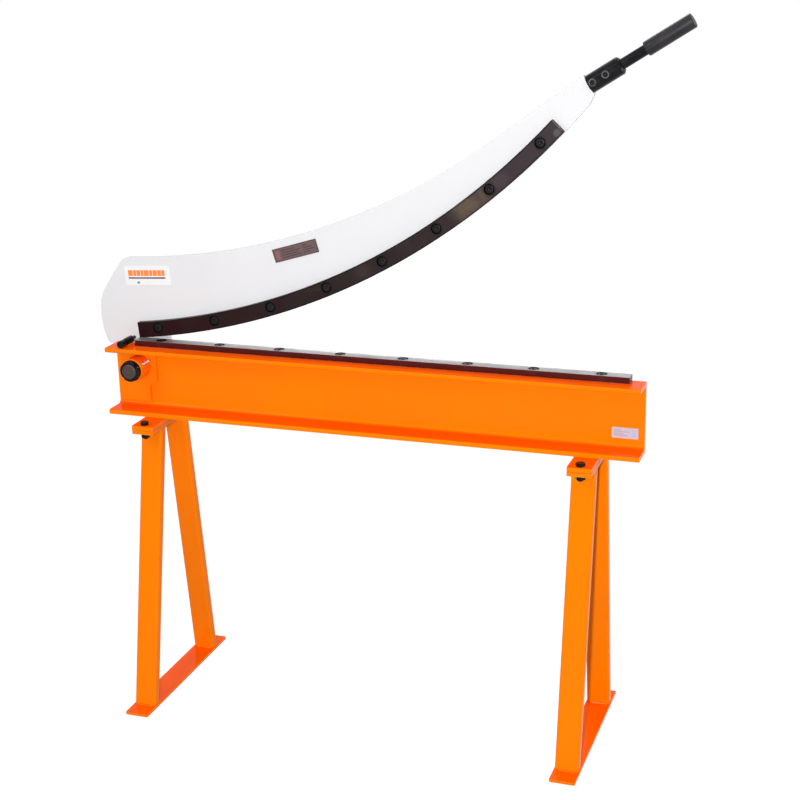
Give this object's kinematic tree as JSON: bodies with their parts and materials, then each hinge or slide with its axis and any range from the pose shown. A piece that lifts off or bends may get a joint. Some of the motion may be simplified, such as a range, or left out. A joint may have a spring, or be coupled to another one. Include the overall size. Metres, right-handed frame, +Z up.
{
  "type": "guillotine shear",
  "caption": "Stand-mounted guillotine shear: channel beam with a fixed lower blade on A-frame stands, and a curved upper blade on a swinging arm with a handle.",
  "frame": {"origin": "on the floor, under the middle of the machine's overall length and width", "axes": "+X along the beam from the pivot towards the handle, +Y away from the user, +Z up"},
  "size_m": [1.208, 0.38, 1.3939],
  "materials": {
    "orange_paint": "gloss enamel",
    "grey_paint": "satin enamel",
    "blade_steel": "hardened, dark brown, ground",
    "ground_steel": "ground",
    "black_steel": "black oxide",
    "bronze": "machined",
    "black_grip": "satin",
    "white_label": null,
    "brown_label": null
  },
  "bodies": {
    "frame": {"beam": "orange_paint", "beam_label": "white_label", "beam_pad_left": "orange_paint", "beam_pad_right": "orange_paint", "stand_plate_left": "orange_paint", "stand_plate_right": "orange_paint", "stand_foot_left": "orange_paint", "stand_foot_right": "orange_paint", "front_leg_left": "orange_paint", "front_leg_right": "orange_paint", "rear_leg_left": "orange_paint", "rear_leg_right": "orange_paint", "front_bolt_left": "black_steel", "front_bolt_right": "black_steel", "rear_bolt_left": "black_steel", "rear_bolt_right": "black_steel", "front_nut_left": "black_steel", "front_nut_right": "black_steel", "rear_nut_left": "black_steel", "rear_nut_right": "black_steel", "lower_blade": "ground_steel", "lower_blade_screw_1": "black_steel", "lower_blade_screw_2": "black_steel", "lower_blade_screw_3": "black_steel", "lower_blade_screw_4": "black_steel", "lower_blade_screw_5": "black_steel", "lower_blade_screw_6": "black_steel", "lower_blade_screw_7": "black_steel", "lower_blade_screw_8": "black_steel", "pivot_doubler": "orange_paint", "pivot_boss": "orange_paint", "pivot_front_washer": "black_steel", "pivot_nut": "black_steel", "pivot_shaft": "ground_steel", "pivot_spacer": "ground_steel", "pivot_rear_washer": "black_steel", "lock_pin_guide": "black_steel"},
    "arm": {"blade_arm": "grey_paint", "arm_bush": "bronze", "arm_sticker": "white_label", "rating_plate": "brown_label", "upper_blade": "blade_steel", "upper_blade_screw_1": "black_steel", "upper_blade_screw_2": "black_steel", "upper_blade_screw_3": "black_steel", "upper_blade_screw_4": "black_steel", "upper_blade_screw_5": "black_steel", "upper_blade_screw_6": "black_steel", "upper_blade_screw_7": "black_steel", "upper_blade_screw_8": "black_steel", "handle_socket": "black_steel", "handle_rod": "black_steel", "handle_grip": "black_grip", "socket_set_screw_1": "black_steel", "socket_set_screw_2": "black_steel"},
    "pin": {"lock_pin": "black_steel"}
  },
  "joints": [
    {"name": "arm_pivot", "type": "hinge", "parent": "frame", "child": "arm", "pos_m": [-0.508, 0.0531, 0.6886], "axis": [0, 1, 0], "range_deg": [0, 27.5]},
    {"name": "lock_pin_slide", "type": "slide", "parent": "frame", "child": "pin", "axis": [0, 1, 0], "range_m": [0, 0.01]}
  ]
}
